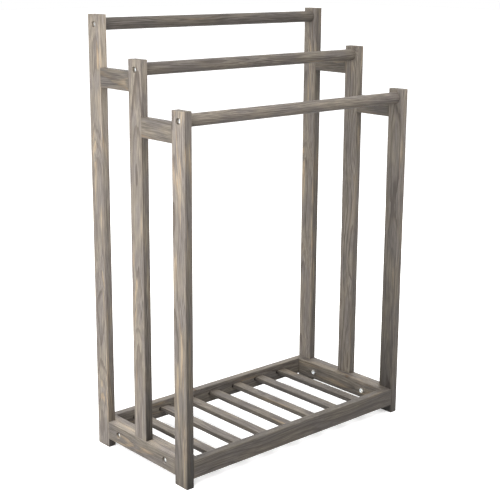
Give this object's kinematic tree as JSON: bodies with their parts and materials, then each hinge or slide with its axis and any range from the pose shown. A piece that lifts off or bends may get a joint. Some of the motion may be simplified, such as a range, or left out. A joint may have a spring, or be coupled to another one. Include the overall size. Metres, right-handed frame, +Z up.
{
  "type": "towel rack",
  "caption": "Freestanding wooden towel rack: stepped side frames carry round towel bars at falling heights above a low slatted shelf.",
  "frame": {"origin": "on the floor, at the centre of the rack's width and depth", "axes": "+X along the towel bars to the right, -Y the low front, +Y the tall back, +Z up"},
  "size_m": [0.62, 0.308, 0.914],
  "materials": {
    "greywashed_pine": "grey-washed planed pine, matt, grain showing",
    "turned_bar": "grey-washed turned pine, matt",
    "beech_dowel": "plain beech, hidden in the joints",
    "zinc": "bright zinc-plated steel"
  },
  "bodies": {
    "root": {"left_back_post": "greywashed_pine", "left_middle_post": "greywashed_pine", "left_front_post": "greywashed_pine", "left_upper_brace": "greywashed_pine", "left_lower_brace": "greywashed_pine", "left_bottom_rail": "greywashed_pine", "right_back_post": "greywashed_pine", "right_middle_post": "greywashed_pine", "right_front_post": "greywashed_pine", "right_upper_brace": "greywashed_pine", "right_lower_brace": "greywashed_pine", "right_bottom_rail": "greywashed_pine", "back_towel_bar": "turned_bar", "middle_towel_bar": "turned_bar", "front_towel_bar": "turned_bar", "shelf_front_rail": "greywashed_pine", "shelf_back_rail": "greywashed_pine", "shelf_left_end_rail": "greywashed_pine", "shelf_right_end_rail": "greywashed_pine", "shelf_slat_1": "greywashed_pine", "shelf_slat_2": "greywashed_pine", "shelf_slat_3": "greywashed_pine", "shelf_slat_4": "greywashed_pine", "shelf_slat_5": "greywashed_pine", "shelf_slat_6": "greywashed_pine", "shelf_slat_7": "greywashed_pine", "left_upper_brace_back_dowel": "beech_dowel", "left_upper_brace_front_dowel": "beech_dowel", "left_lower_brace_back_dowel": "beech_dowel", "left_lower_brace_front_dowel": "beech_dowel", "left_bottom_rail_back_dowel": "beech_dowel", "left_bottom_rail_front_dowel": "beech_dowel", "left_middle_post_dowel": "beech_dowel", "shelf_left_end_rail_back_dowel": "beech_dowel", "shelf_left_end_rail_front_dowel": "beech_dowel", "right_upper_brace_back_dowel": "beech_dowel", "right_upper_brace_front_dowel": "beech_dowel", "right_lower_brace_back_dowel": "beech_dowel", "right_lower_brace_front_dowel": "beech_dowel", "right_bottom_rail_back_dowel": "beech_dowel", "right_bottom_rail_front_dowel": "beech_dowel", "right_middle_post_dowel": "beech_dowel", "shelf_right_end_rail_back_dowel": "beech_dowel", "shelf_right_end_rail_front_dowel": "beech_dowel", "left_back_bar_screw": "zinc", "left_middle_bar_screw": "zinc", "left_front_bar_screw": "zinc", "right_back_bar_screw": "zinc", "right_middle_bar_screw": "zinc", "right_front_bar_screw": "zinc", "left_back_shelf_bolt": "zinc", "left_front_shelf_bolt": "zinc", "right_back_shelf_bolt": "zinc", "right_front_shelf_bolt": "zinc", "left_back_shelf_nut": "zinc", "left_front_shelf_nut": "zinc", "right_back_shelf_nut": "zinc", "right_front_shelf_nut": "zinc"}
  },
  "joints": []
}
